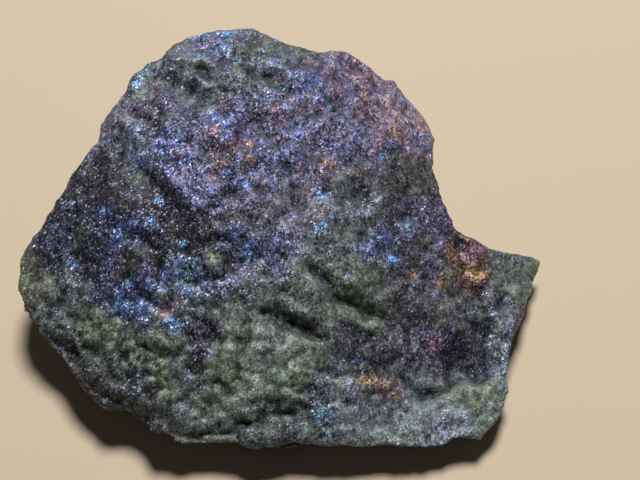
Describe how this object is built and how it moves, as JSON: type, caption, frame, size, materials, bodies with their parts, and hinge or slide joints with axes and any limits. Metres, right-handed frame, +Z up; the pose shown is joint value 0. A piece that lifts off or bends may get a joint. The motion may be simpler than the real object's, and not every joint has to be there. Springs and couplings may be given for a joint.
{
  "type": "peacock ore specimen",
  "caption": "Wedge-shaped broken hand specimen of tarnished copper sulphide ore, domed at the back and thin at the front, with a bite and a spur at the right, for display.",
  "frame": {"origin": "centre of the bounding box in plan, on the plane that the stone rests on", "axes": "+X along the longest side towards the short spur, +Y towards the thick back, +Z up from the resting flat"},
  "size_m": [0.0556, 0.046, 0.0176],
  "materials": {
    "tarnished_ore": "granular and glittering, with violet, blue, pink and gold tarnish over olive grey"
  },
  "bodies": {
    "root": {"ore_stone": "tarnished_ore"}
  },
  "joints": []
}
